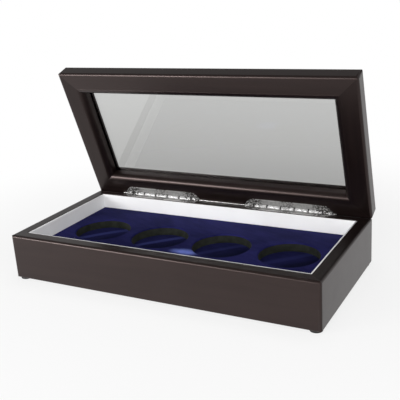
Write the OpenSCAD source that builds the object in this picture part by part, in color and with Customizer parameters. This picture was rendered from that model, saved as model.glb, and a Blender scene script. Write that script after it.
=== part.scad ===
// Coin display case: a mitred wooden base with a recessed velvet tray, and a glazed lid on two hinges.
// Left to right is X, front to back is Y and up is Z. The origin is on the surface the feet stand on,
// under the middle of the base. The lid stands open as it is displayed.

/* [Base frame] */
// Length of the case, left to right
case_l = 250; // [242:1:300]
// Depth of the case, front to back
case_d = 120; // [100:1:160]
// Height of the base frame, without its feet
base_h = 35; // [32:1:50]
// Thickness of the base rails
wall_t = 9.2; // [8:0.1:11]
// Rounding along the top outer edge of the base
base_top_round = 2; // [0.3:0.1:3]
// Rounding along the bottom outer edge of the base
base_bottom_round = 0.9; // [0.3:0.1:2]
// Rounding of the upright outer corners of base and lid
corner_round = 2.5; // [0.5:0.1:3]
// Rounding of the base's top back edge, which the lid turns past
base_hinge_round = 3.2; // [3.15:0.05:3.3]

/* [Bottom and feet] */
// Thickness of the bottom panel
bottom_t = 4; // [3:0.5:6]
// How far the bottom panel is let into the rails
bottom_rabbet = 4.4; // [3:0.1:6]
// Diameter of a foot pad
foot_d = 9; // [6:0.5:12]
// Height of a foot pad
foot_h = 2; // [1:0.1:4]
// Rounding of a foot pad's lower edge
foot_round = 0.5; // [0.2:0.1:0.9]
// Middle of a foot pad from the end of the case
foot_inset_x = 5.5; // [5:0.5:20]
// Middle of a foot pad from the front or back of the case
foot_inset_y = 5.5; // [5:0.5:20]

/* [Lining] */
// Thickness of the cloth-covered lining boards
lining_t = 1.4; // [1:0.1:2.5]
// How far the lining stays below the rim
lining_drop = 0.2; // [0:0.1:0.8]

/* [Tray] */
// Depth of the tray's face below the rim
tray_drop = 11.8; // [9:0.1:13]
// Number of recesses in the row
recess_count = 4; // [1:1:4]
// Diameter of a recess, to take a 40.6 mm coin in its round capsule
recess_d = 45; // [36:0.5:46]
// Width of the web between two recesses
recess_gap = 9; // [4:0.5:10]
// Depth of a recess below the tray's face
recess_depth = 7; // [4:0.5:8]
// Thickness of the velvet
velvet_t = 1; // [0.6:0.1:1.5]
// Thickness of the stiff card under the recesses
card_t = 2; // [1:0.5:3]
// Width of the strips that carry the tray
support_w = 8; // [5:0.5:12]

/* [Lid] */
// Angle the lid stands open at, up to where its lower back edge comes close to the base
lid_open = 70.5; // [45:0.5:72]
// Thickness of the lid frame
lid_t = 13.4; // [12.6:0.1:18]
// Gap between base and closed lid
lid_gap = 1.2; // [1.2:0.05:1.4]
// Width of the flat band on the lid's underside
frame_w = 14.2; // [13:0.1:18]
// Width of the rounded beads that hold the glass
bead_w = 5; // [3:0.1:8]
// Rounding of the beads
bead_round = 4.8; // [2:0.1:4.9]
// Depth of the glass behind the lid's underside
glass_depth = 8.9; // [6:0.1:9.3]
// Thickness of the glass
glass_t = 2; // [1.5:0.1:2.5]
// How far the outer lip reaches in past the beads
lip_reach = 1.3; // [0.5:0.1:3]
// Rounding of the lip's outer edge round the glass
lip_round = 0.8; // [0.3:0.1:1]
// Rounding along the lid's lower outer edge, at the front and the ends
lid_face_round = 2.2; // [0.5:0.1:3]
// Rounding of the lid's lower back edge
lid_hinge_round = 0.8; // [0.6:0.05:0.9]
// Rounding along the lid's upper outer edge
lid_top_round = 3.4; // [1:0.1:5]

/* [Hinges] */
// Middle of a hinge from the end of the case
hinge_inset = 67; // [58:0.5:75]
// Length of a hinge along its knuckles
hinge_l = 73; // [60:1:80]
// Length of the short knuckle at each end of a hinge
end_knuckle_l = 7.5; // [6:0.1:10]
// Number of knuckles in a hinge
knuckle_count = 7; // [5, 7, 9]
// Outer diameter of the knuckles
barrel_d = 3.8; // [3:0.1:3.9]
// Diameter of the long wire through both hinges
wire_d = 1.2; // [0.8:0.05:1.3]
// Length of wire that stands out past the outer end of each hinge
wire_tail = 3.5; // [2:0.5:8]
// Middle of the wire from the back of the case
axis_inset = 2; // [1.9:0.05:2.05]
// Thickness of a hinge leaf
leaf_t = 0.45; // [0.3:0.05:0.5]
// Width of a leaf, from the wire to its far edge
leaf_w = 6.8; // [5:0.1:7]
// How much shorter each end of a leaf is at its far edge
leaf_taper = 5; // [1:0.5:8]
// Number of nails in a leaf
nail_count = 3; // [2, 3, 4]
// Distance between the nails of a leaf
nail_pitch = 21; // [12:0.5:25]
// Diameter of a nail's shank
nail_d = 1; // [0.8:0.05:1.2]
// Diameter of a nail's head
nail_head_d = 2.4; // [1.8:0.1:3]
// Length of a nail
nail_l = 7; // [5:0.5:8]

/* [Fits] */
// Space round the bottom panel in its rabbet
panel_clearance = 0.15; // [0.05:0.05:0.5]
// Space round the tray inside the lining
tray_clearance = 0.3; // [0.1:0.05:0.8]
// Space round the glass in the lid frame
glass_clearance = 0.3; // [0.1:0.05:0.8]
// Space between two knuckles
knuckle_clearance = 0.3; // [0.2:0.05:0.6]
// Space between the wire and a knuckle's bore, all round
wire_clearance = 0.05; // [0.02:0.01:0.09]
// Space round the barrel in its notches
notch_clearance = 0.4; // [0.3:0.05:0.6]
// Space between a nail and its hole, all round
nail_clearance = 0.03; // [0.02:0.01:0.05]

/* [Hidden] */
SIDES = ["front", "back", "left", "right"];
HANDS = ["left", "right"];

$fn = 96;
// Extra length of a cut past the surface it opens
past = 1;

// Heights
rim_z = foot_h + base_h;
floor_z = foot_h + bottom_t;
tray_z = rim_z - tray_drop;
recess_floor_z = tray_z - recess_depth;
card_z = recess_floor_z - velvet_t - card_t;
lid_z = rim_z + lid_gap;

// Hinges
hinge_offset = case_l / 2 - hinge_inset;
axis_y = case_d / 2 - axis_inset;
axis_z = rim_z + lid_gap / 2;
barrel_r = barrel_d / 2;
notch_r = barrel_r + notch_clearance;
plate_y = axis_y - barrel_r - notch_clearance / 2;
nail_y = (plate_y + axis_y - leaf_w) / 2;
long_knuckle_l = (hinge_l - 2 * end_knuckle_l) / (knuckle_count - 2);

// Inside sizes
well_l = case_l - 2 * wall_t;
well_d = case_d - 2 * wall_t;
tray_l = well_l - 2 * (lining_t + tray_clearance);
tray_d = well_d - 2 * (lining_t + tray_clearance);
recess_pitch = recess_d + recess_gap;
opening_w = frame_w + bead_w;
glass_inset = frame_w + glass_clearance;

WOOD = [0.20, 0.14, 0.12];
SATIN = [0.90, 0.89, 0.92];
VELVET = [0.13, 0.14, 0.42];
BLACK = [0.09, 0.10, 0.09];
CARD = [0.55, 0.50, 0.42];
NICKEL = [0.78, 0.78, 0.76];
GLASS = [0.75, 0.80, 0.80, 0.35];

// Length of the case along one side
function side_l(side) = side == "front" || side == "back" ? case_l : case_d;

// Start of a knuckle along its hinge, counted from the left end
function knuckle_x(i) = i == 0 ? 0 : end_knuckle_l + (i - 1) * long_knuckle_l;
function knuckle_l(i) = i == 0 || i == knuckle_count - 1 ? end_knuckle_l : long_knuckle_l;

// What lies between a square corner at the origin and its rounding
module corner_waste(r) {
    difference() {
        translate([-past, -past]) square(r + past);
        translate([r, r]) circle(r);
    }
}

module rounded_rectangle(l, d, r) {
    square([l - 2 * r, d], center = true);
    square([l, d - 2 * r], center = true);
    for (x = [-1, 1], y = [-1, 1]) translate([x * (l / 2 - r), y * (d / 2 - r)]) circle(r);
}

// A bar of the given outer length whose 2D profile runs inward along X and up along Y, with mitred ends
module mitred_bar(l, w, h) {
    intersection() {
        rotate([90, 0, 90]) linear_extrude(l, center = true) children();
        translate([0, 0, -past]) linear_extrude(h + 2 * past)
            polygon([[-l / 2 - past, -past], [l / 2 + past, -past], [l / 2 - w, w], [-l / 2 + w, w]]);
    }
}

// Puts a bar made for the front on any side of the case, a given distance inside its outline
module on_side(side, inset = 0) {
    turn = side == "front" ? 0 : side == "right" ? 90 : side == "back" ? 180 : 270;
    reach = (side == "front" || side == "back" ? case_d : case_l) / 2 - inset;
    rotate([0, 0, turn]) translate([0, -reach, 0]) children();
}

// Turns what is drawn on the closed lid up to where the lid stands open
module opened() {
    translate([0, axis_y, axis_z]) rotate([-lid_open, 0, 0]) translate([0, -axis_y, -axis_z]) children();
}

// Room for one hinge's barrel in the back rails
module barrel_notch(hand) {
    l = hinge_l + 2 * notch_clearance;
    at_hinge(hand)
        translate([-l / 2, -notch_r, -notch_r]) cube([l, notch_r + axis_inset + past, 2 * notch_r]);
}

module at_hinge(hand) {
    translate([hand == "left" ? -hinge_offset : hinge_offset, axis_y, axis_z]) children();
}

module nail_holes(hand, upward) {
    for (i = [0 : nail_count - 1]) at_nail(hand, i, upward)
        translate([0, 0, -nail_l - nail_clearance]) cylinder(d = nail_d + 2 * nail_clearance, h = nail_l + leaf_t);
}

// Places a nail that is drawn with its head's top at z = leaf_t and its shank down
module at_nail(hand, i, upward) {
    x = (i - (nail_count - 1) / 2) * nail_pitch;
    at_hinge(hand) translate([x, nail_y - axis_y, (upward ? 1 : -1) * lid_gap / 2])
        mirror([0, 0, upward ? 1 : 0]) children();
}

// What a rounding along the back takes off the base's top, or off the lid's underside
module hinge_edge_waste(z, r, upward) {
    translate([0, case_d / 2, z]) rotate([90, 0, 90]) linear_extrude(case_l + 2 * past, center = true)
        mirror([1, 0]) mirror([0, upward ? 0 : 1]) corner_waste(r);
}

module base_profile() {
    difference() {
        square([wall_t, base_h]);
        corner_waste(base_bottom_round);
        translate([0, base_h]) mirror([0, 1]) corner_waste(base_top_round);
        translate([wall_t - bottom_rabbet, -past]) square([bottom_rabbet + past, bottom_t + past]);
    }
}

module base_rail(side) {
    color(WOOD) difference() {
        intersection() {
            on_side(side) translate([0, 0, foot_h])
                mitred_bar(side_l(side), wall_t + past, base_h) base_profile();
            translate([0, 0, foot_h - past]) linear_extrude(base_h + 2 * past)
                rounded_rectangle(case_l, case_d, corner_round);
        }
        hinge_edge_waste(rim_z, base_hinge_round, false);
        if (side == "back") for (hand = HANDS) {
            barrel_notch(hand);
            nail_holes(hand, false);
        }
    }
}

module bottom_panel() {
    inset = 2 * (wall_t - bottom_rabbet + panel_clearance);
    color(WOOD) translate([0, 0, foot_h + bottom_t / 2])
        cube([case_l - inset, case_d - inset, bottom_t], center = true);
}

module foot(x, y) {
    color(BLACK) translate([x * (case_l / 2 - foot_inset_x), y * (case_d / 2 - foot_inset_y), 0])
        rotate_extrude() difference() {
            square([foot_d / 2, foot_h]);
            translate([foot_d / 2, 0]) mirror([1, 0]) corner_waste(foot_round);
        }
}

module lining(side) {
    color(SATIN) on_side(side, wall_t) translate([0, 0, floor_z])
        mitred_bar(side_l(side) - 2 * wall_t, lining_t + past, rim_z - lining_drop - floor_z)
            square([lining_t, rim_z - lining_drop - floor_z]);
}

module tray_support(side) {
    inset = wall_t + lining_t + tray_clearance;
    color(CARD) on_side(side, inset) translate([0, 0, floor_z])
        mitred_bar(side_l(side) - 2 * inset, support_w + past, card_z - floor_z)
            square([support_w, card_z - floor_z]);
}

// A flat layer of the tray, with or without the row of recesses
module tray_layer(z, t, pierced) {
    translate([0, 0, z]) difference() {
        linear_extrude(t) square([tray_l, tray_d], center = true);
        if (pierced) for (i = [0 : recess_count - 1])
            translate([(i - (recess_count - 1) / 2) * recess_pitch, 0, -past]) cylinder(d = recess_d, h = t + 2 * past);
    }
}

module recess_card() {
    color(CARD) tray_layer(card_z, card_t, false);
}

module recess_velvet() {
    color(VELVET) tray_layer(recess_floor_z - velvet_t, velvet_t, false);
}

module tray_core() {
    color(BLACK) tray_layer(recess_floor_z, recess_depth - velvet_t, true);
}

module tray_velvet() {
    color(VELVET) tray_layer(tray_z - velvet_t, velvet_t, true);
}

// One leaf about the wire's axis as it lies on the base, with every second knuckle from the given one
module hinge_leaf(first) {
    far_y = -leaf_w;
    near_y = plate_y - axis_y;
    seat_z = -lid_gap / 2;
    difference() {
        union() {
            translate([0, 0, seat_z]) linear_extrude(leaf_t) polygon([
                [-hinge_l / 2, near_y], [hinge_l / 2, near_y],
                [hinge_l / 2 - leaf_taper, far_y], [-hinge_l / 2 + leaf_taper, far_y]
            ]);
            for (i = [first : 2 : knuckle_count - 1]) {
                l = knuckle_l(i) - knuckle_clearance;
                translate([-hinge_l / 2 + knuckle_x(i) + knuckle_clearance / 2, 0, 0]) {
                    rotate([0, 90, 0]) cylinder(d = barrel_d, h = l);
                    translate([0, near_y - leaf_t, seat_z]) cube([l, leaf_t - near_y, leaf_t]);
                }
            }
        }
        translate([-hinge_l / 2 - past, 0, 0]) rotate([0, 90, 0])
            cylinder(d = wire_d + 2 * wire_clearance, h = hinge_l + 2 * past);
        for (i = [0 : nail_count - 1])
            translate([(i - (nail_count - 1) / 2) * nail_pitch, nail_y - axis_y, seat_z])
                cylinder(d1 = nail_d + 2 * nail_clearance, d2 = nail_head_d + 2 * nail_clearance, h = leaf_t);
    }
}

module hinge_base_leaf(hand) {
    color(NICKEL) at_hinge(hand) hinge_leaf(0);
}

module hinge_lid_leaf(hand) {
    color(NICKEL) opened() at_hinge(hand) mirror([0, 0, 1]) hinge_leaf(1);
}

module nails(hand, upward) {
    for (i = [0 : nail_count - 1]) at_nail(hand, i, upward) {
        cylinder(d1 = nail_d, d2 = nail_head_d, h = leaf_t);
        translate([0, 0, -nail_l]) cylinder(d = nail_d, h = nail_l);
    }
}

module hinge_base_nails(hand) {
    color(NICKEL) nails(hand, false);
}

module hinge_lid_nails(hand) {
    color(NICKEL) opened() nails(hand, true);
}

module hinge_wire() {
    l = 2 * (hinge_offset + hinge_l / 2 + wire_tail);
    color(NICKEL) translate([0, axis_y, axis_z]) rotate([0, 90, 0]) cylinder(d = wire_d, h = l, center = true);
}

module lid_profile(back) {
    lip_z = glass_depth + glass_t;
    lip_w = opening_w + lip_reach;
    difference() {
        union() {
            square([frame_w, lid_t]);
            translate([0, lip_z]) square([lip_w, lid_t - lip_z]);
        }
        corner_waste(back ? lid_hinge_round : lid_face_round);
        translate([0, lid_t]) mirror([0, 1]) corner_waste(lid_top_round);
        translate([lip_w, lid_t]) mirror([1, 0]) mirror([0, 1]) corner_waste(lip_round);
    }
}

module lid_rail(side) {
    color(WOOD) opened() difference() {
        intersection() {
            on_side(side) translate([0, 0, lid_z])
                mitred_bar(side_l(side), opening_w + lip_reach + past, lid_t) lid_profile(side == "back");
            translate([0, 0, lid_z - past]) linear_extrude(lid_t + 2 * past)
                rounded_rectangle(case_l, case_d, corner_round);
        }
        hinge_edge_waste(lid_z, lid_hinge_round, true);
        if (side == "back") for (hand = HANDS) {
            barrel_notch(hand);
            nail_holes(hand, true);
        }
    }
}

module bead(side) {
    color(WOOD) opened() on_side(side, frame_w) translate([0, 0, lid_z])
        mitred_bar(side_l(side) - 2 * frame_w, bead_w + past, glass_depth) difference() {
            square([bead_w, glass_depth]);
            translate([bead_w, 0]) mirror([1, 0]) corner_waste(bead_round);
        }
}

module glass_pane() {
    color(GLASS) opened() translate([0, 0, lid_z + glass_depth + glass_t / 2])
        cube([case_l - 2 * glass_inset, case_d - 2 * glass_inset, glass_t], center = true);
}

base_rail("front");  // base_front_rail
base_rail("back");  // base_back_rail
base_rail("left");  // base_left_rail
base_rail("right");  // base_right_rail
bottom_panel();
foot(-1, -1);  // foot_front_left
foot(1, -1);  // foot_front_right
foot(-1, 1);  // foot_back_left
foot(1, 1);  // foot_back_right
lining("front");  // lining_front
lining("back");  // lining_back
lining("left");  // lining_left
lining("right");  // lining_right
tray_support("front");  // tray_support_front
tray_support("back");  // tray_support_back
tray_support("left");  // tray_support_left
tray_support("right");  // tray_support_right
recess_card();
recess_velvet();
tray_core();
tray_velvet();
hinge_base_leaf("left");  // left_hinge_base_leaf
hinge_base_leaf("right");  // right_hinge_base_leaf
hinge_wire();
hinge_base_nails("left");  // left_hinge_base_nails
hinge_base_nails("right");  // right_hinge_base_nails
lid_rail("front");  // lid_front_rail
lid_rail("back");  // lid_back_rail
lid_rail("left");  // lid_left_rail
lid_rail("right");  // lid_right_rail
glass_pane();
bead("front");  // bead_front
bead("back");  // bead_back
bead("left");  // bead_left
bead("right");  // bead_right
hinge_lid_leaf("left");  // left_hinge_lid_leaf
hinge_lid_leaf("right");  // right_hinge_lid_leaf
hinge_lid_nails("left");  // left_hinge_lid_nails
hinge_lid_nails("right");  // right_hinge_lid_nails
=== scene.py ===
"""Coin display case: the finished looks of a mitred wooden case with a glazed lid and a velvet tray.

Pieces are drawn in millimetres and become metres when they are finished. X runs left to right,
Y front to back and Z up. Pieces of the lid are drawn closed and then turned up on the hinge wire.
"""

import math

import bmesh
import bpy
from mathutils import Matrix, Vector, noise


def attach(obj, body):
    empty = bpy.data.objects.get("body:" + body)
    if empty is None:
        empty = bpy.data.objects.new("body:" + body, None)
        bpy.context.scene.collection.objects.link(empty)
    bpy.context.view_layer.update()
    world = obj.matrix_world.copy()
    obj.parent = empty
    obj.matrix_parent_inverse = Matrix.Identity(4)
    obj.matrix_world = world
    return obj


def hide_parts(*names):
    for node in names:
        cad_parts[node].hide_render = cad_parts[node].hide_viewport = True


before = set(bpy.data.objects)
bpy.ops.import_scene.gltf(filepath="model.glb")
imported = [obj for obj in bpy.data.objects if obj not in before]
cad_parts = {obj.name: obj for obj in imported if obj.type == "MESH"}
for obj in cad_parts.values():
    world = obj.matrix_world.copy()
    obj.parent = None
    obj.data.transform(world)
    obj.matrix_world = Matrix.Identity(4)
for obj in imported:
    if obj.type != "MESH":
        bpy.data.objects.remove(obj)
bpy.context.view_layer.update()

MM = 0.001

# Case
CASE_L = 250.0
CASE_D = 120.0
FOOT_H = 2.0
RIM_Z = 37.0
FLOOR_Z = 6.0
WALL_T = 9.2
BOTTOM_RABBET = 4.4
BOTTOM_GAP = 0.15
CORNER_R = 2.5
BASE_BOTTOM_R = 0.9
BASE_TOP_R = 2.0
BASE_HINGE_R = 3.2
FOOT_INSET = 5.5
LINING_T = 1.4
LINING_TOP_Z = 36.8
RIM_INNER_R = 0.25
LINING_R = 0.6
BOARD_R = 0.25
FOOT_OUTLINE = [(0, 0), (3.6, 0), (4.0, 0.05), (4.3, 0.2), (4.45, 0.5), (4.5, 0.9), (4.5, 2), (0, 2)]

# Tray
TRAY_L = 228.2
TRAY_D = 98.2
TRAY_Z = 25.2
RECESS_FLOOR_Z = 18.2
RECESS_R = 22.5
RECESS_PITCH = 54.0
RECESS_COUNT = 4
CLOTH_T = 0.8
TRAY_EDGE_ROLL = 0.8
RECESS_EDGE_ROLL = 1.0
FACE_SWELL = 0.14
FLOOR_SWELL = 0.18
FLOOR_CROWN = 0.35

# Lid
LID_OPEN = math.radians(70.5)
LID_Z = 38.2
LID_T = 13.4
LID_FACE_R = 2.2
LID_TOP_R = 3.4
LID_HINGE_R = 0.8
FRAME_W = 14.2
BEAD_W = 5.0
GLASS_DEPTH = 8.9
GLASS_T = 2.0
LIP_W = 20.5
LIP_R = 0.8
GLASS_INSET = 14.5
GLASS_EDGE_R = 0.25
BEAD_R = 4.8
BEAD_SEAT_R = 0.2

# Length that the mitres cut off a bar, and how far a cut runs past the back
BASE_SPARE = 20
LID_SPARE = 50
BEAD_SPARE = 20
LINING_SPARE = 4
CUT_PAST = 5

# Hinges
HINGE_X = 58.0
HINGE_L = 73.0
AXIS_Y = 58.0
AXIS_Z = 37.6
BARREL_R = 1.9
NOTCH_R = 2.3
NOTCH_END_ROOM = 0.4
BORE_R = 0.65
WIRE_R = 0.6
WIRE_L = 196.0
END_KNUCKLE_L = 7.5
LONG_KNUCKLE_L = 11.6
KNUCKLE_COUNT = 7
KNUCKLE_GAP = 0.3
KNUCKLE_BODY_R = 1.68
KNUCKLE_BODY_SWELL = 0.08
KNUCKLE_NECK_R = 1.58
KNUCKLE_END_R = 1.55
KNUCKLE_STEP = 0.22
RING_MIDDLE = 0.55
RING_HALF_W = 0.45
RING_REACH = 1.1
CURL_START = 1.0
CURL_FROM_R = 1.2
LEAF_T = 0.45
LEAF_W = 6.8
LEAF_NEAR = -2.1
LEAF_SEAT = -0.6
LEAF_TAPER = 5.0
LINE_R = 0.26
LINE_RISE = 0.13
NAIL_PITCH = 21.0
NAIL_Y = -4.45
NAIL_OUTLINE = [
    (0, 0.13), (0.5, 0.11), (0.95, 0.05), (1.2, -0.02), (0.5, -0.45), (0.5, -6.9), (0, -7.4)
]

# Camera in degrees and metres, as fitted to the photo's edges, and studio
CAMERA_AZIMUTH = 29.023
CAMERA_ELEVATION = 18.208
CAMERA_ROLL = -3.904
CAMERA_PLACE = (0.25366, -0.43703, 0.22394)
CAMERA_LENS = 63.51
WORLD_LIGHT = 0.30
WHITE = (1, 1, 1)

# Finishes
END_GLOSS = 0.32
DIAGONAL = 0.7071
CREASE = 34
CLOTH_CREASE = 80
LEAF_CREASE = 40

SIDES = {"front": 0, "right": 90, "back": 180, "left": 270}


class Value:
    """A socket of a finish that can be used in arithmetic."""

    def __init__(self, finish, socket):
        self.finish = finish
        self.socket = socket

    def _math(self, operation, *terms):
        return self.finish.node("ShaderNodeMath", {"operation": operation}, dict(enumerate(terms)))

    def __add__(self, other):
        return self._math("ADD", self, other)

    def __radd__(self, other):
        return self._math("ADD", other, self)

    def __sub__(self, other):
        return self._math("SUBTRACT", self, other)

    def __rsub__(self, other):
        return self._math("SUBTRACT", other, self)

    def __mul__(self, other):
        return self._math("MULTIPLY", self, other)

    def __rmul__(self, other):
        return self._math("MULTIPLY", other, self)

    def __truediv__(self, other):
        return self._math("DIVIDE", self, other)

    def __pow__(self, other):
        return self._math("POWER", self, other)

    def __abs__(self):
        return self._math("ABSOLUTE", self)

    def __mod__(self, other):
        return self._math("FLOORED_MODULO", self, other)

    def clamp(self):
        return self.finish.node("ShaderNodeClamp", {}, {0: self})

    def step(self, low, high):
        """0 below low, 1 above high and a smooth rise between them."""
        return self.finish.node(
            "ShaderNodeMapRange", {"interpolation_type": "SMOOTHSTEP"}, {0: self, 1: low, 2: high}
        )


class Finish:
    """A material with one Principled shader, built from small calls."""

    def __init__(self, name, **constants):
        self.material = bpy.data.materials.new(name)
        self.material.use_nodes = True
        self.tree = self.material.node_tree
        self.shader = self.tree.nodes["Principled BSDF"]
        self.set(**constants)

    def set(self, **inputs):
        for name, value in inputs.items():
            self._fill(self.shader.inputs[name.replace("_", " ")], value)

    def _fill(self, socket, value):
        if isinstance(value, Value):
            self.tree.links.new(value.socket, socket)
        elif socket.type == "RGBA" and len(value) == 3:
            socket.default_value = (*value, 1)
        else:
            socket.default_value = value

    def node(self, kind, settings, sockets, out=0):
        made = self.tree.nodes.new(kind)
        for name, value in settings.items():
            setattr(made, name, value)
        for name, value in sockets.items():
            self._fill(made.inputs[name], value)
        return Value(self, made.outputs[out])

    def place(self, turn=(0, 0, 0), scale=(1, 1, 1), shift=(0, 0, 0)):
        """Where a point of the piece lies, turned first, then moved and stretched."""
        here = self.node("ShaderNodeTexCoord", {}, {}, "Object")
        turned = self.node(
            "ShaderNodeMapping", {}, {"Vector": here, "Location": shift, "Rotation": turn}
        )
        return self.node("ShaderNodeMapping", {}, {"Vector": turned, "Scale": scale})

    def cloud(self, place, scale, detail=3.0, rough=0.5, distortion=0.0):
        form = {"Scale": scale, "Detail": detail, "Roughness": rough, "Distortion": distortion}
        return self.node("ShaderNodeTexNoise", {}, {"Vector": place, **form})

    def along(self, place):
        """The three coordinates of a point, one by one."""
        parts = self.node("ShaderNodeSeparateXYZ", {}, {0: place}, "X")
        return parts, *(Value(self, parts.socket.node.outputs[axis]) for axis in "YZ")

    def length(self, place):
        return self.node("ShaderNodeVectorMath", {"operation": "LENGTH"}, {0: place}, "Value")

    def mix(self, share, first, second):
        return self.node(
            "ShaderNodeMix", {"data_type": "RGBA"}, {0: share, 6: first, 7: second}, 2
        )

    def relief(self, height, depth, strength=1.0):
        """Bump of the given depth in millimetres."""
        bump = self.node(
            "ShaderNodeBump", {}, {"Height": height, "Distance": depth * MM, "Strength": strength}
        )
        self.set(Normal=bump)


def wood(name, turn=(0, 0, 0), gloss=0.5):
    """Espresso stained wood under satin lacquer, its grain along X once the piece is turned."""
    f = Finish(name, Coat_Roughness=0.14)
    f.set(Specular_IOR_Level=gloss, Specular_Tint=(1.0, 0.75, 0.71, 1))
    fibres = f.cloud(f.place(turn, (10, 150, 150)), 1.6, 5, 0.6, 0.3)
    pores = f.cloud(f.place(turn, (55, 1500, 1500)), 1.0, 2, 0.5)
    bands = f.cloud(f.place(turn, (3, 34, 34)), 1.0, 2, 0.5)
    shade = (fibres * 0.65 + bands * 0.35).step(0.34, 0.66)
    colour = f.mix(shade, (0.0042, 0.0025, 0.0024), (0.0080, 0.0050, 0.0046))
    colour = f.mix(pores.step(0.60, 0.74) * 0.5, colour, (0.0026, 0.0016, 0.0015))
    haze = f.cloud(f.place(), 45, 3, 0.6)
    f.set(Base_Color=colour, Roughness=haze * 0.08 + 0.29, Coat_Weight=haze * 0.06 + 0.05)
    f.relief(fibres * 0.7 - pores.step(0.58, 0.74) * 0.6, 0.02, 0.4)
    return f.material


def satin(name):
    """White satin drawn over thin board."""
    f = Finish(name, Sheen_Weight=0.25, Sheen_Roughness=0.4, Specular_IOR_Level=0.4)
    threads = f.cloud(f.place(scale=(2600, 2600, 500)), 1, 1)
    puckers = f.cloud(f.place(scale=(60, 60, 18)), 1, 2, 0.4)
    tone = f.cloud(f.place(), 30, 3)
    colour = f.mix(tone.step(0.3, 0.7), (0.83, 0.825, 0.83), (0.88, 0.88, 0.885))
    f.set(Base_Color=colour, Roughness=threads * 0.15 + 0.42)
    f.relief(threads * 0.06 + puckers, 0.20, 0.6)
    return f.material


class Velvet(Finish):
    """Royal blue velvet whose pile lies different ways in brushed patches."""

    def __init__(self, name):
        super().__init__(
            name,
            Roughness=0.85,
            Sheen_Weight=0.05,
            Sheen_Roughness=0.40,
            Sheen_Tint=(0.30, 0.34, 0.95, 1),
            Specular_IOR_Level=0.05,
        )
        self.pile = self.cloud(self.place(), 2600, 2, 0.6)
        self.brushed = self.cloud(self.place(scale=(22, 34, 22)), 1, 3, 0.55, 0.8)
        streaks = self.cloud(self.place((0, 0, math.radians(24)), (40, 260, 120)), 1, 3, 0.6)
        self.lay = (self.brushed * 0.72 + streaks * 0.28).step(0.36, 0.66)

    def cover(self, colour):
        """Lays the pile over a colour that changes from patch to patch."""
        depth = self.pile.step(0.40, 0.75) * 0.35
        self.set(Base_Color=self.mix(depth, colour, (0.004, 0.004, 0.022)))
        self.relief(self.pile + self.lay * 0.5, 0.12, 0.5)
        return self.material


def face_velvet(name):
    """Velvet of the tray face, its pile laid the other way in one small place between two recesses,
    where its sheen is painted in as a bright blue highlight.
    """
    f = Velvet(name)
    colour = f.mix(f.lay, (0.0085, 0.0085, 0.052), (0.0185, 0.0180, 0.098))
    reach = f.length(f.place(shift=(-0.006, 0.0205, 0), scale=(85, 180, 1)))
    # Painted sheen highlight: a bright blue patch where the pile lies the other way.
    painted_sheen = 1 - (reach + f.brushed * 1.2 - 0.6).step(0.2, 1.2)
    return f.cover(f.mix(painted_sheen * 0.95, colour, (0.190, 0.250, 0.72)))


def floor_velvet(name):
    """Velvet of the recess floors, darker than the face's as painted shade, with a painted streak of
    light across each that fades to the right and a painted shadow along its near right side.
    """
    f = Velvet(name)
    # Painted shade: these colours are darker than the face velvet's, for the shade inside the
    # recesses.
    colour = f.mix(f.lay, (0.0055, 0.0060, 0.034), (0.0125, 0.0130, 0.068))
    x, y, _ = f.along(f.place())
    pitch = RECESS_PITCH * MM
    across = (y - ((x + 2 * pitch) % pitch - pitch / 2)) * (DIAGONAL / MM)
    # Painted shadow of the near right wall: the floor darkens towards that side.
    colour = f.mix(across.step(-7, 4), (0.0030, 0.0040, 0.0190), colour)
    # Painted highlight: a streak of light across each floor, weaker in the recesses to the right.
    painted_light_streak = 1 - abs(across + f.brushed * 4 - 10).step(1.2, 4.0)
    fade = 1 - x.step(-0.025, 0.020) * 0.7
    return f.cover(f.mix(painted_light_streak * fade, colour, (0.036, 0.042, 0.165)))


def foam(name):
    f = Finish(name, Specular_IOR_Level=0.3)
    cells = f.node(
        "ShaderNodeTexVoronoi", {"feature": "F1"}, {"Vector": f.place(), "Scale": 2400.0}, "Distance"
    )
    patches = f.cloud(f.place(), 180, 3)
    colour = f.mix(patches.step(0.3, 0.7), (0.010, 0.0115, 0.0090), (0.020, 0.0220, 0.0175))
    f.set(Base_Color=colour, Roughness=cells * 0.1 + 0.85)
    f.relief(cells, 0.10, 0.8)
    return f.material


def board(name):
    f = Finish(name)
    pulp = f.cloud(f.place(), 700, 4, 0.7)
    flecks = f.cloud(f.place(scale=(160, 420, 160)), 1, 2)
    colour = f.mix(pulp, (0.22, 0.205, 0.175), (0.36, 0.34, 0.30))
    colour = f.mix(flecks.step(0.62, 0.72) * 0.4, colour, (0.12, 0.11, 0.09))
    f.set(Base_Color=colour, Roughness=pulp * 0.1 + 0.82)
    f.relief(pulp, 0.06, 0.6)
    return f.material


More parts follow.
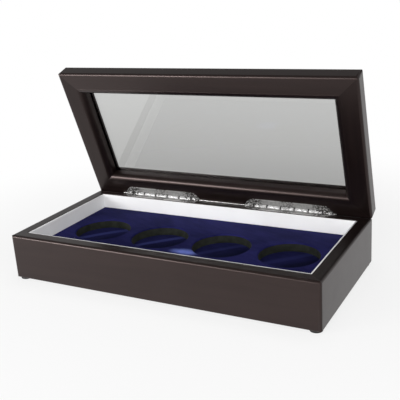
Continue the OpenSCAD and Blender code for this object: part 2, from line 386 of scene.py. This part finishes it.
def nickel(name):
    """Nickel plated sheet: a painted highlight makes its barrels near white; speckled on its plates,
    dark in its joints.
    """
    f = Finish(name, Specular_IOR_Level=0.6)
    film = f.cloud(f.place(), 420, 4, 0.6)
    spots = f.cloud(f.place(), 700, 3, 0.65)
    x, y, z = f.along(f.place())
    back, up = y - AXIS_Y * MM, z - AXIS_Z * MM
    from_wire = (back * back + up * up) ** 0.5 / MM
    on_hinge = (abs(x) - HINGE_X * MM) / MM
    on_barrel = 1 - from_wire.step(1.9, 2.1)
    pitch = LONG_KNUCKLE_L
    from_joint = abs((on_hinge + pitch * 4) % pitch - pitch / 2)
    joint = (1 - from_joint.step(0.35, 0.95)) * on_barrel
    corner = from_wire.step(1.80, 2.05) * (1 - from_wire.step(2.2, 2.7))
    ornate = abs(abs(on_hinge).step(0, 36) - 0.33).step(0.20, 0.45)
    dull = film.step(0.42, 0.72)
    valley = (1 - from_wire.step(1.70, 1.82)) * on_barrel
    # Painted highlight: the barrels get a near white colour and less metallic than the plates, though
    # both are the same plating.
    colour = f.mix(on_barrel, (0.47, 0.465, 0.455), (0.95, 0.945, 0.94))
    colour = f.mix(spots.step(0.44, 0.54) * (ornate * 0.80 + 0.20), colour, (0.05, 0.045, 0.04))
    colour = f.mix((joint + corner + valley * 0.5).clamp(), colour, (0.018, 0.016, 0.015))
    f.set(Base_Color=colour, Metallic=0.6 - on_barrel * 0.35)
    f.set(Roughness=dull * 0.12 - on_barrel * 0.12 + 0.40)
    f.relief(film * 0.6 + spots * 0.4, 0.03, 0.35)
    return f.material


def steel(name):
    f = Finish(name, Metallic=1.0)
    drawn = f.cloud(f.place(scale=(60, 3200, 3200)), 1, 2)
    film = f.cloud(f.place(), 300, 3)
    colour = f.mix(film.step(0.4, 0.7), (0.42, 0.415, 0.405), (0.26, 0.255, 0.245))
    f.set(Base_Color=colour, Roughness=drawn * 0.12 + 0.20)
    f.relief(drawn, 0.01, 0.4)
    return f.material


def rubber(name):
    f = Finish(name)
    grain = f.cloud(f.place(), 1500, 3, 0.6)
    dust = f.cloud(f.place(), 160, 3)
    colour = f.mix(dust.step(0.45, 0.75) * 0.5, (0.013, 0.0125, 0.012), (0.035, 0.034, 0.032))
    f.set(Base_Color=colour, Roughness=grain * 0.15 + 0.62)
    f.relief(grain, 0.05, 0.5)
    return f.material


def glass(name):
    """Clear pane of the lid, grey tinted and darker towards its bottom as painted shade, with faint
    wipe marks.
    """
    f = Finish(name, Transmission_Weight=1.0, IOR=1.5, Specular_IOR_Level=0.4)
    wiped = f.cloud(f.place((0, 0, math.radians(35)), (30, 140, 60)), 1, 4, 0.6, 0.5)
    _, _, height = f.along(f.place())
    # Painted shade: the grey tint darkens towards the bottom of the pane.
    tint_and_painted_shade = f.mix(height.step(0.045, 0.150), (0.435, 0.437, 0.428), (0.585, 0.588, 0.580))
    f.set(Base_Color=tint_and_painted_shade, Roughness=wiped.step(0.55, 0.80) * 0.012)
    return f.material


QUARTER = math.radians(-90)
FINISHES = {
    "wood_x": wood("espresso_wood_long"),
    "wood_y": wood("espresso_wood_end", (0, 0, QUARTER), END_GLOSS),
    "wood_lid": wood("espresso_wood_lid_end", (LID_OPEN, 0, QUARTER), END_GLOSS),
    "satin": satin("white_satin"),
    "velvet": face_velvet("royal_blue_velvet"),
    "velvet_floor": floor_velvet("royal_blue_floor_velvet"),
    "foam": foam("black_foam"),
    "board": board("grey_board"),
    "nickel": nickel("worn_nickel"),
    "steel": steel("drawn_steel"),
    "rubber": rubber("black_rubber"),
    "glass": glass("lid_glass"),
}


def of_type(geometry, kind):
    return [g for g in geometry if isinstance(g, kind)]


def finished(bm, name, finish, body, nodes, crease=CREASE):
    """Makes a drawn piece an object that rides on its body and stands for its solids."""
    bmesh.ops.remove_doubles(bm, verts=bm.verts, dist=0.002)
    bmesh.ops.recalc_face_normals(bm, faces=bm.faces)
    if body == "lid":
        turn = Matrix.Rotation(-LID_OPEN, 3, "X")
        bmesh.ops.rotate(bm, cent=(0, AXIS_Y, AXIS_Z), matrix=turn, verts=bm.verts)
    bmesh.ops.scale(bm, vec=(MM, MM, MM), verts=bm.verts)
    for face in bm.faces:
        face.smooth = True
    for edge in bm.edges:
        edge.smooth = edge.calc_face_angle(0) < math.radians(crease)
    mesh = bpy.data.meshes.new(name)
    bm.to_mesh(mesh)
    bm.free()
    mesh.materials.append(FINISHES[finish])
    piece = bpy.data.objects.new(name, mesh)
    bpy.context.scene.collection.objects.link(piece)
    shading = piece.modifiers.new("even_shading", "WEIGHTED_NORMAL")
    shading.keep_sharp = True
    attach(piece, body)
    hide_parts(*nodes)
    return piece


def slice_off(bm, point, normal):
    """Takes off what lies beyond a plane and closes the cut."""
    everything = bm.verts[:] + bm.edges[:] + bm.faces[:]
    cut = bmesh.ops.bisect_plane(
        bm, geom=everything, dist=0.0005, plane_co=point, plane_no=normal, clear_outer=True
    )
    edges = of_type(cut["geom_cut"], bmesh.types.BMEdge)
    if edges:
        bmesh.ops.holes_fill(bm, edges=edges, sides=0)


def round_off(bm, centre, radius, first, second, steps=6):
    """Rounds the edge between two directions with narrow planes at a radius from a centre line."""
    for i in range(steps):
        angle = (i + 0.5) / steps * math.pi / 2
        normal = Vector(first) * math.cos(angle) + Vector(second) * math.sin(angle)
        slice_off(bm, Vector(centre) + normal * radius, normal)


def bar(outline, rounds, length, segments=6):
    """A bar along X from an outline of (inward, up) corners; rounds gives corners a radius."""
    bm = bmesh.new()
    end = bm.faces.new([bm.verts.new((-length / 2, y, z)) for y, z in outline])
    run = bmesh.ops.extrude_face_region(bm, geom=[end])
    bmesh.ops.translate(bm, verts=of_type(run["geom"], bmesh.types.BMVert), vec=(length, 0, 0))
    for corner, radius in rounds.items():
        y, z = outline[corner]
        edges = [
            e
            for e in bm.edges
            if all(abs(v.co.y - y) < 1e-4 and abs(v.co.z - z) < 1e-4 for v in e.verts)
        ]
        bmesh.ops.bevel(
            bm,
            geom=edges,
            offset=radius,
            offset_type="OFFSET",
            segments=segments,
            profile=0.5,
            affect="EDGES",
            material=-1,
        )
    return bm


def mitred(bm, length):
    """Cuts both ends of a bar at 45 degrees."""
    for end in (-1, 1):
        slice_off(bm, (end * length / 2, 0, 0), (end, 1, 0))


def set_on_side(bm, side, inset=0.0):
    reach = (CASE_D if side in ("front", "back") else CASE_L) / 2 - inset
    bmesh.ops.translate(bm, verts=bm.verts, vec=(0, -reach, 0))
    turn = Matrix.Rotation(math.radians(SIDES[side]), 3, "Z")
    bmesh.ops.rotate(bm, cent=(0, 0, 0), matrix=turn, verts=bm.verts)


def side_length(side):
    return CASE_L if side in ("front", "back") else CASE_D


def round_corners(bm, side):
    """Rounds the upright corners that a rail reaches."""
    x, y = CASE_L / 2 - CORNER_R, CASE_D / 2 - CORNER_R
    for sx in (-1, 1):
        for sy in (-1, 1):
            reached = {"front": sy < 0, "back": sy > 0, "left": sx < 0, "right": sx > 0}[side]
            if reached:
                round_off(bm, (sx * x, sy * y, 0), CORNER_R, (sx, 0, 0), (0, sy, 0), 8)


def block(low, high):
    """A box between two corners."""
    bm = bmesh.new()
    bmesh.ops.create_cube(bm, size=1)
    size = [b - a for a, b in zip(low, high)]
    middle = [(a + b) / 2 for a, b in zip(low, high)]
    bmesh.ops.scale(bm, vec=size, verts=bm.verts)
    bmesh.ops.translate(bm, vec=middle, verts=bm.verts)
    return bm


def soften(bm, radius, segments=3):
    """Rounds every edge of a piece."""
    bmesh.ops.bevel(
        bm,
        geom=bm.edges[:],
        offset=radius,
        offset_type="OFFSET",
        segments=segments,
        profile=0.5,
        affect="EDGES",
        material=-1,
    )


def loose_object(bm):
    mesh = bpy.data.meshes.new("working")
    bm.to_mesh(mesh)
    bm.free()
    made = bpy.data.objects.new("working", mesh)
    bpy.context.scene.collection.objects.link(made)
    return made


def cut_out(bm, cutters):
    """Takes the cutters' volume out of a piece."""
    blank = loose_object(bm)
    tools = [loose_object(c) for c in cutters]
    for tool in tools:
        cut = blank.modifiers.new("cut", "BOOLEAN")
        cut.operation = "DIFFERENCE"
        cut.solver = "EXACT"
        cut.object = tool
    bpy.context.view_layer.update()
    done = bmesh.new()
    done.from_object(blank, bpy.context.evaluated_depsgraph_get())
    for used in [blank] + tools:
        bpy.data.objects.remove(used)
    return done


def turned(outline, steps=32, axis="Z"):
    """Spins an outline of (radius, height) points once round an axis."""
    bm = bmesh.new()
    points = [bm.verts.new((r, 0, h)) for r, h in outline]
    edges = [bm.edges.new(pair) for pair in zip(points, points[1:])]
    bmesh.ops.spin(
        bm,
        geom=points + edges,
        cent=(0, 0, 0),
        axis=(0, 0, 1),
        angle=math.tau,
        steps=steps,
        use_merge=True,
        use_duplicate=False,
    )
    bmesh.ops.remove_doubles(bm, verts=bm.verts, dist=0.0005)
    if axis == "X":
        bmesh.ops.rotate(
            bm, cent=(0, 0, 0), matrix=Matrix.Rotation(math.pi / 2, 3, "Y"), verts=bm.verts
        )
    bmesh.ops.recalc_face_normals(bm, faces=bm.faces)
    return bm


def join(bm, other, shift=(0, 0, 0)):
    """Adds another drawing to this one."""
    bmesh.ops.translate(other, verts=other.verts, vec=shift)
    mesh = bpy.data.meshes.new("joined")
    other.to_mesh(mesh)
    other.free()
    bm.from_mesh(mesh)
    bpy.data.meshes.remove(mesh)


def barrel_notches():
    """Room for the barrels of both hinges, open to the back."""
    reach = HINGE_L / 2 + NOTCH_END_ROOM
    low, high = (AXIS_Y - NOTCH_R, AXIS_Z - NOTCH_R), (CASE_D / 2 + CUT_PAST, AXIS_Z + NOTCH_R)
    return [block((x - reach, *low), (x + reach, *high)) for x in (-HINGE_X, HINGE_X)]


def base_rails():
    seat = WALL_T - BOTTOM_RABBET
    outline = [
        (0, FOOT_H), (seat, FOOT_H), (seat, FLOOR_Z), (WALL_T, FLOOR_Z), (WALL_T, RIM_Z), (0, RIM_Z)
    ]
    for side in SIDES:
        rounds = {0: BASE_BOTTOM_R, 5: BASE_TOP_R, 4: RIM_INNER_R}
        bm = bar(outline, rounds, side_length(side) + BASE_SPARE, 8)
        mitred(bm, side_length(side))
        set_on_side(bm, side)
        round_corners(bm, side)
        if side != "front":
            centre = (0, CASE_D / 2 - BASE_HINGE_R, RIM_Z - BASE_HINGE_R)
            round_off(bm, centre, BASE_HINGE_R, (0, 1, 0), (0, 0, 1), 8)
        if side == "back":
            bm = cut_out(bm, barrel_notches())
        grain = "wood_x" if side in ("front", "back") else "wood_y"
        finished(bm, f"{side}_base_rail", grain, "base", [f"base_{side}_rail"])


def bottom():
    reach = WALL_T - BOTTOM_RABBET + BOTTOM_GAP
    x, y = CASE_L / 2 - reach, CASE_D / 2 - reach
    bm = block((-x, -y, FOOT_H), (x, y, FLOOR_Z))
    soften(bm, BOARD_R)
    finished(bm, "bottom_board", "wood_x", "base", ["bottom_panel"])


def feet():
    for end, y in (("front", -1), ("back", 1)):
        for hand, x in (("left", -1), ("right", 1)):
            bm = turned(FOOT_OUTLINE, 40)
            place = (x * (CASE_L / 2 - FOOT_INSET), y * (CASE_D / 2 - FOOT_INSET), 0)
            bmesh.ops.translate(bm, verts=bm.verts, vec=place)
            finished(bm, f"pad_{end}_{hand}", "rubber", "base", [f"foot_{end}_{hand}"])


def linings():
    for side in SIDES:
        length = side_length(side) - 2 * WALL_T
        outline = [(0, FLOOR_Z), (LINING_T, FLOOR_Z), (LINING_T, LINING_TOP_Z), (0, LINING_TOP_Z)]
        bm = bar(outline, {2: LINING_R, 3: LINING_R}, length + LINING_SPARE, 5)
        mitred(bm, length)
        set_on_side(bm, side, WALL_T)
        finished(bm, f"{side}_satin_lining", "satin", "base", [f"lining_{side}"])


def cell_reach(angle, low, high):
    """Distance from a recess's middle to the edge of its cell, in a direction."""
    x, y = math.cos(angle), math.sin(angle)
    along_x = (high[0] if x > 0 else low[0]) / x if abs(x) > 1e-9 else math.inf
    along_y = (high[1] if y > 0 else low[1]) / y if abs(y) > 1e-9 else math.inf
    return min(along_x, along_y)


def cell_angle(share, low, high):
    """Spaces the spokes of a cell so that one runs into each of its corners."""
    corners = [
        math.atan2(low[1], high[0]),
        math.atan2(high[1], high[0]),
        math.atan2(high[1], low[0]),
        math.atan2(low[1], low[0]) + math.tau,
        math.atan2(low[1], high[0]) + math.tau,
    ]
    marks = [0, 1 / 3, 1 / 2, 5 / 6, 1]
    for i in range(4):
        if share <= marks[i + 1] + 1e-9:
            part = (share - marks[i]) / (marks[i + 1] - marks[i])
            return corners[i] + part * (corners[i + 1] - corners[i])


def tray_cloth(rings, closed, height):
    """Cloth over the whole tray, drawn in rings round each recess.

    Each ring is (radius, share): a circle that is drawn out to the edge of the cell by its share."""
    bm = bmesh.new()
    for column in range(RECESS_COUNT):
        x = (column - (RECESS_COUNT - 1) / 2) * RECESS_PITCH
        low = (-RECESS_PITCH / 2 if column else -TRAY_L / 2 - x, -TRAY_D / 2)
        high = (RECESS_PITCH / 2 if column < RECESS_COUNT - 1 else TRAY_L / 2 - x, TRAY_D / 2)
        cell = bmesh.new()
        bmesh.ops.create_circle(cell, cap_ends=closed, cap_tris=closed, segments=96, radius=1)
        edges = [e for e in cell.edges if e.is_boundary or e.is_wire]
        for v in cell.verts:
            if v.co.length > 0.5:
                turn = cell_angle(math.atan2(v.co.y, v.co.x) % math.tau / math.tau, low, high)
                v.co = Vector((math.cos(turn), math.sin(turn), 0)) * rings[0][0]
        for radius, share in rings[1:]:
            drawn = bmesh.ops.extrude_edge_only(cell, edges=edges)["geom"]
            edges = [e for e in of_type(drawn, bmesh.types.BMEdge) if e.is_boundary]
            for v in of_type(drawn, bmesh.types.BMVert):
                turn = math.atan2(v.co.y, v.co.x)
                reach = radius + (cell_reach(turn, low, high) - radius) * share
                v.co = Vector((math.cos(turn), math.sin(turn), 0)) * reach
        join(bm, cell, (x, 0, 0))
    bmesh.ops.remove_doubles(bm, verts=bm.verts, dist=0.01)
    for v in bm.verts:
        v.co.z = height(v.co.x, v.co.y)
    bmesh.ops.recalc_face_normals(bm, faces=bm.faces)
    return bm


def rolled(distance, radius):
    """How far cloth has rolled down at a distance from the edge it is drawn over."""
    if distance >= radius:
        return 0.0
    return radius - math.sqrt(max(0.0, radius * radius - (radius - distance) ** 2))


def recess_distance(x, y):
    """Distance from the middle of the nearest recess."""
    column = max(0, min(RECESS_COUNT - 1, round(x / RECESS_PITCH + (RECESS_COUNT - 1) / 2)))
    return math.hypot(x - (column - (RECESS_COUNT - 1) / 2) * RECESS_PITCH, y)


def face_height(x, y):
    edge = min(TRAY_L / 2 - abs(x), TRAY_D / 2 - abs(y))
    rim = recess_distance(x, y) - RECESS_R
    swell = FACE_SWELL * noise.noise(Vector((x / 26, y / 20, 0.3)))
    swell *= min(1, rim / 3) * min(1, edge / 3)
    return TRAY_Z - rolled(edge, TRAY_EDGE_ROLL) - rolled(rim, RECESS_EDGE_ROLL) + swell


def floor_height(x, y):
    inside = max(0.0, 1 - (recess_distance(x, y) / RECESS_R) ** 4)
    swell = FLOOR_SWELL * noise.noise(Vector((x / 15, y / 13, 4.1)))
    return RECESS_FLOOR_Z + inside * (FLOOR_CROWN + swell)


def with_thickness(piece):
    solid = piece.modifiers.new("cloth", "SOLIDIFY")
    solid.thickness = CLOTH_T * MM
    solid.offset = -1


def tray():
    edge_rings = [(RECESS_R + d, 0) for d in (0, 0.03, 0.12, 0.28, 0.5, 0.75, 1.0, 1.6)]
    fan = [(RECESS_R + 1.6, s) for s in (0.15, 0.32, 0.5, 0.68, 0.84, 0.95, 0.972, 0.985, 0.995, 1)]
    cloth = tray_cloth(edge_rings + fan, False, face_height)
    face = finished(cloth, "velvet_tray_face", "velvet", "base", ["tray_velvet"], CLOTH_CREASE)
    with_thickness(face)
    inner = [(r, 0) for r in (2, 5, 8, 11, 14, 17, 19.5, 21.3, RECESS_R)]
    floor = tray_cloth(inner + [(RECESS_R, 0.5), (RECESS_R, 1)], True, floor_height)
    floor = finished(
        floor, "velvet_recess_floors", "velvet_floor", "base", ["recess_velvet"], CLOTH_CREASE
    )
    with_thickness(floor)


def lid_rails():
    lip_z = LID_Z + GLASS_DEPTH + GLASS_T
    top = LID_Z + LID_T
    outline = [
        (0, LID_Z), (FRAME_W, LID_Z), (FRAME_W, lip_z), (LIP_W, lip_z), (LIP_W, top), (0, top)
    ]
    for side in SIDES:
        face_round = LID_HINGE_R if side == "back" else LID_FACE_R
        rounds = {0: face_round, 4: LIP_R, 5: LID_TOP_R}
        bm = bar(outline, rounds, side_length(side) + LID_SPARE, 8)
        mitred(bm, side_length(side))
        set_on_side(bm, side)
        round_corners(bm, side)
        if side != "front":
            centre = (0, CASE_D / 2 - LID_HINGE_R, LID_Z + LID_HINGE_R)
            round_off(bm, centre, LID_HINGE_R, (0, 1, 0), (0, 0, -1), 6)
        if side == "back":
            bm = cut_out(bm, barrel_notches())
        grain = "wood_x" if side in ("front", "back") else "wood_lid"
        finished(bm, f"{side}_lid_rail", grain, "lid", [f"lid_{side}_rail"])


def beads():
    outline = [(0, LID_Z), (BEAD_W, LID_Z), (BEAD_W, LID_Z + GLASS_DEPTH), (0, LID_Z + GLASS_DEPTH)]
    for side in SIDES:
        length = side_length(side) - 2 * FRAME_W
        bm = bar(outline, {1: BEAD_R, 0: BEAD_SEAT_R}, length + BEAD_SPARE, 10)
        mitred(bm, length)
        set_on_side(bm, side, FRAME_W)
        grain = "wood_x" if side in ("front", "back") else "wood_lid"
        finished(bm, f"{side}_glass_bead", grain, "lid", [f"bead_{side}"])


def pane():
    low_z = LID_Z + GLASS_DEPTH
    x, y = CASE_L / 2 - GLASS_INSET, CASE_D / 2 - GLASS_INSET
    bm = block((-x, -y, low_z), (x, y, low_z + GLASS_T))
    soften(bm, GLASS_EDGE_R, 1)
    finished(bm, "lid_glass_pane", "glass", "lid", ["glass_pane"])


def knuckle_start(i):
    return -HINGE_L / 2 + (0 if i == 0 else END_KNUCKLE_L + (i - 1) * LONG_KNUCKLE_L)


def knuckle_length(i):
    return END_KNUCKLE_L if i in (0, KNUCKLE_COUNT - 1) else LONG_KNUCKLE_L


def knuckle(length):
    """One stamped barrel from x = 0, with a ring at each end and curling leaves between them."""
    count = max(12, round(length / KNUCKLE_STEP))
    outline = [(BORE_R, 0)]
    for i in range(count + 1):
        h = length * i / count
        end = min(h, length - h)
        ring = 0.5 + 0.5 * math.cos(math.pi * min(1, abs(end - RING_MIDDLE) / RING_HALF_W))
        radius = KNUCKLE_BODY_R + KNUCKLE_BODY_SWELL * math.sin(math.pi * h / length)
        if end < RING_REACH:
            radius = max(radius, KNUCKLE_NECK_R + (BARREL_R - KNUCKLE_NECK_R) * ring)
        outline.append((radius if end > 0.01 else KNUCKLE_END_R, h))
    outline += [(BORE_R, length), (BORE_R, 0)]
    bm = turned(outline, 40, "X")
    for v in bm.verts:
        radius = math.hypot(v.co.y, v.co.z)
        end = min(v.co.x, length - v.co.x)
        if radius > CURL_FROM_R and end > CURL_START:
            angle = math.atan2(v.co.z, v.co.y)
            along = v.co.x / length
            curl = math.sin(3 * angle + 2.6 * math.sin(math.tau * along))
            vein = math.sin(6 * angle - 5.0 * math.cos(math.tau * along * 1.5))
            swell = max(0.0, curl) ** 0.6 * 0.15 + max(0.0, vein) * 0.05
            grow = 1 + min(1, (end - CURL_START) / 0.5) * swell / radius
            v.co.y *= grow
            v.co.z *= grow
    return bm


def raised_lines(bm, lines, radius, top):
    """Lays round-backed lines on a leaf, their backs level with the given height."""
    curve = bpy.data.curves.new("lines", "CURVE")
    curve.dimensions = "3D"
    curve.bevel_depth = radius
    curve.bevel_resolution = 2
    curve.use_fill_caps = True
    for line in lines:
        spline = curve.splines.new("POLY")
        spline.points.add(len(line) - 1)
        for point, (x, y) in zip(spline.points, line):
            point.co = (x, y, top - radius, 1)
    holder = bpy.data.objects.new("lines", curve)
    bpy.context.scene.collection.objects.link(holder)
    bpy.context.view_layer.update()
    drawn = holder.to_mesh()
    bm.from_mesh(drawn)
    holder.to_mesh_clear()
    bpy.data.objects.remove(holder)


def scroll(x, y, size, start, hand, turns=1.4, steps=30):
    """Points of a spiral that winds in to its middle."""
    points = []
    for i in range(steps + 1):
        t = i / steps
        radius = size * (1 - 0.86 * t)
        angle = start + hand * t * turns * math.tau
        points.append((x + radius * math.cos(angle), y + radius * math.sin(angle)))
    return points


def leaf_lines():
    """Scrolls at both ends and in the middle of a leaf, and a fine bead along its edges."""
    far, near = -LEAF_W + 0.45, LEAF_NEAR - 0.35
    lines = []
    for side in (-1, 1):
        end = HINGE_L / 2
        lines.append(scroll(side * (end - 6.2), -5.4, 1.0, math.pi / 2, -side))
        lines.append(scroll(side * (end - 4.0), -3.7, 0.95, -math.pi / 2, side))
        lines.append(scroll(side * (end - 8.4), -3.6, 0.8, math.pi / 2, side))
        lines.append(scroll(side * 1.9, -5.2, 1.05, math.pi / 2, -side))
        lines.append(scroll(side * 1.6, -3.2, 0.75, -math.pi / 2, side))
        lines.append(scroll(side * 4.2, -3.8, 0.8, math.pi / 2, side))
        lines.append([(side * 5.4, far), (side * (end - 8.2), far)])
        lines.append([(side * 5.4, near), (side * (end - 9.6), near)])
        lines.append([(side * (end - 0.9), near - 0.1), (side * (end - LEAF_TAPER - 0.5), far)])
    return lines


def leaf_plate():
    """Sheet of one leaf, with small bites at its ends and either side of its middle."""
    bm = bmesh.new()
    corners = (
        (-HINGE_L / 2, LEAF_NEAR), (-HINGE_L / 2 + LEAF_TAPER, -LEAF_W),
        (HINGE_L / 2 - LEAF_TAPER, -LEAF_W), (HINGE_L / 2, LEAF_NEAR),
    )
    sheet = bm.faces.new([bm.verts.new((x, y, LEAF_SEAT)) for x, y in corners])
    raised = bmesh.ops.extrude_face_region(bm, geom=[sheet])
    bmesh.ops.translate(bm, verts=of_type(raised["geom"], bmesh.types.BMVert), vec=(0, 0, LEAF_T))
    bites = []
    for side in (-1, 1):
        end = HINGE_L / 2
        for x, y, radius in (
            (3.9, -LEAF_W - 0.45, 1.0), (1.3, -LEAF_W - 0.25, 0.7), (end - 0.9, -3.9, 1.0),
            (end - 3.0, -5.9, 1.1), (end - 5.9, -LEAF_W - 0.35, 1.0), (end - 8.6, -LEAF_W - 0.45, 1.0)
        ):
            bite = turned([(0, -1), (radius, -1), (radius, 1), (0, 1)], 20)
            bmesh.ops.translate(bite, verts=bite.verts, vec=(side * x, y, LEAF_SEAT))
            bites.append(bite)
    return cut_out(bm, bites)


def hinge_leaf(first):
    """One leaf round the wire's line, as it lies on the base, with every second knuckle."""
    bm = leaf_plate()
    for i in range(first, KNUCKLE_COUNT, 2):
        start = knuckle_start(i) + KNUCKLE_GAP / 2
        length = knuckle_length(i) - KNUCKLE_GAP
        join(bm, knuckle(length), (start, 0, 0))
        low, high = (LEAF_NEAR - LEAF_T, LEAF_SEAT), (-BORE_R - 0.2, LEAF_SEAT + LEAF_T)
        strap = block((start, *low), (start + length, *high))
        soften(strap, 0.06, 1)
        join(bm, strap)
    raised_lines(bm, leaf_lines(), LINE_R, LEAF_SEAT + LEAF_T + LINE_RISE)
    return bm


def nail():
    """A nail with its head's underside at z = 0 and its shank down."""
    return turned(NAIL_OUTLINE, 24)


def hinges():
    for hand, x in (("left", -HINGE_X), ("right", HINGE_X)):
        for body, first, flip in (("base", 0, 1), ("lid", 1, -1)):
            bm = hinge_leaf(first)
            pins = bmesh.new()
            for i in (-1, 0, 1):
                join(pins, nail(), (i * NAIL_PITCH, NAIL_Y, LEAF_SEAT + LEAF_T))
            for drawing in (bm, pins):
                bmesh.ops.scale(drawing, vec=(1, 1, flip), verts=drawing.verts)
                bmesh.ops.translate(drawing, vec=(x, AXIS_Y, AXIS_Z), verts=drawing.verts)
            name, node = f"{hand}_{body}_hinge", f"{hand}_hinge_{body}"
            finished(bm, f"{name}_leaf", "nickel", body, [f"{node}_leaf"], LEAF_CREASE)
            finished(pins, f"{name}_nails", "nickel", body, [f"{node}_nails"])


def wire():
    end = WIRE_L / 2
    outline = [(0, -end), (0.35, -end + 0.03), (0.52, -end + 0.15), (WIRE_R, -end + 0.4)]
    outline += [(WIRE_R, end - 0.4), (0.52, end - 0.15), (0.35, end - 0.03), (0, end)]
    bm = turned(outline, 24, "X")
    bmesh.ops.translate(bm, vec=(0, AXIS_Y, AXIS_Z), verts=bm.verts)
    finished(bm, "long_hinge_wire", "steel", "base", ["hinge_wire"])


def dress_solids():
    """Gives the solids that stay as they are their finishes."""
    kept = {"tray_core": "foam", "recess_card": "board"}
    kept.update({f"tray_support_{side}": "board" for side in SIDES})
    for node, finish in kept.items():
        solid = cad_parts[node]
        solid.data.materials.clear()
        solid.data.materials.append(FINISHES[finish])


def camera():
    azimuth, elevation = math.radians(CAMERA_AZIMUTH), math.radians(CAMERA_ELEVATION)
    data = bpy.data.cameras.new("photo_camera")
    data.lens = CAMERA_LENS
    data.sensor_width = 36
    data.clip_start = 0.01
    level = math.cos(elevation)
    back = Vector((math.sin(azimuth) * level, -math.cos(azimuth) * level, math.sin(elevation)))
    roll = Matrix.Rotation(math.radians(CAMERA_ROLL), 3, "Z")
    turn = back.to_track_quat("Z", "Y").to_matrix() @ roll
    taken = bpy.data.objects.new("photo_camera", data)
    taken.matrix_world = Matrix.Translation(CAMERA_PLACE) @ turn.to_4x4()
    bpy.context.scene.collection.objects.link(taken)
    bpy.context.scene.camera = taken


def lamp(name, place, aim, size, power, mirrored=True):
    """A soft lamp; one that is not mirrored leaves no white sheet in the glass."""
    data = bpy.data.lights.new(name, "AREA")
    data.shape = "RECTANGLE"
    data.size, data.size_y = size
    data.energy = power
    made = bpy.data.objects.new(name, data)
    made.location = place
    made.rotation_euler = (Vector(place) - Vector(aim)).to_track_quat("Z", "Y").to_euler()
    made.visible_glossy = mirrored
    bpy.context.scene.collection.objects.link(made)


class Set(Finish):
    """Nodes of the backdrop: a world or a floor, with one shader for light and one for the eye."""

    def __init__(self, owner, output):
        owner.use_nodes = True
        self.tree = owner.node_tree
        self.output = self.tree.nodes[output]

    def show(self, lit, seen):
        """The camera, glass and metal see one shader, and all else is lit by the other."""
        path = self.node("ShaderNodeLightPath", {}, {}, "Is Camera Ray")
        rays = path.socket.node.outputs
        mirrored = Value(self, rays["Is Glossy Ray"])
        through = Value(self, rays["Is Transmission Ray"])
        seen_by = (path + mirrored + through).clamp()
        mixed = self.node("ShaderNodeMixShader", {}, {0: seen_by, 1: lit, 2: seen})
        self._fill(self.output.inputs["Surface"], mixed)


def studio():
    scene = bpy.context.scene
    scene.view_settings.view_transform = "Standard"
    world = bpy.data.worlds.new("studio")
    scene.world = world
    sky = Set(world, "World Output")
    soft = sky.node("ShaderNodeBackground", {}, {"Strength": WORLD_LIGHT}, 0)
    _, _, up = sky.along(sky.node("ShaderNodeTexCoord", {}, {}, "Generated"))
    eye = sky.node("ShaderNodeLightPath", {}, {}, "Is Camera Ray")
    wall = 1 - up.step(0.03, 0.43) * 0.7 * (1 - eye)
    white = sky.node("ShaderNodeBackground", {}, {"Color": WHITE, "Strength": wall}, 0)
    sky.show(soft, white)

    bm = bmesh.new()
    bmesh.ops.create_grid(bm, x_segments=1, y_segments=1, size=6)
    mesh = bpy.data.meshes.new("floor")
    bm.to_mesh(mesh)
    bm.free()
    floor = bpy.data.objects.new("floor", mesh)
    scene.collection.objects.link(floor)
    material = bpy.data.materials.new("pale_floor")
    mesh.materials.append(material)
    ground = Set(material, "Material Output")
    paint = ground.node("ShaderNodeBsdfDiffuse", {}, {"Color": (0.82, 0.82, 0.82)})
    glow = ground.node("ShaderNodeEmission", {}, {"Color": WHITE, "Strength": 1.0})
    share = ground.length(ground.place()).step(0.15, 0.40) * 0.22 + 0.78
    ground.show(paint, ground.node("ShaderNodeMixShader", {}, {0: share, 1: paint, 2: glow}))

    lamp("front", (0.25, -1.10, 0.60), (0, 0, 0.03), (0.8, 0.5), 7.5, False)
    lamp("left_front", (-0.40, -0.52, 0.16), (-0.10, -0.05, 0.03), (0.30, 0.20), 1.6)
    lamp("low_strip", (-0.47, -0.90, 0.24), (0, 0, 0.04), (0.7, 0.10), 3.0)
    lamp("right", (1.05, -0.30, 0.40), (0.05, 0, 0.03), (0.5, 0.4), 3.2)
    lamp("top", (0.1, 0.35, 1.35), (0, 0, 0.1), (0.9, 0.5), 4, False)


camera()
studio()
base_rails()
bottom()
feet()
linings()
tray()
lid_rails()
beads()
pane()
hinges()
wire()
dress_solids()
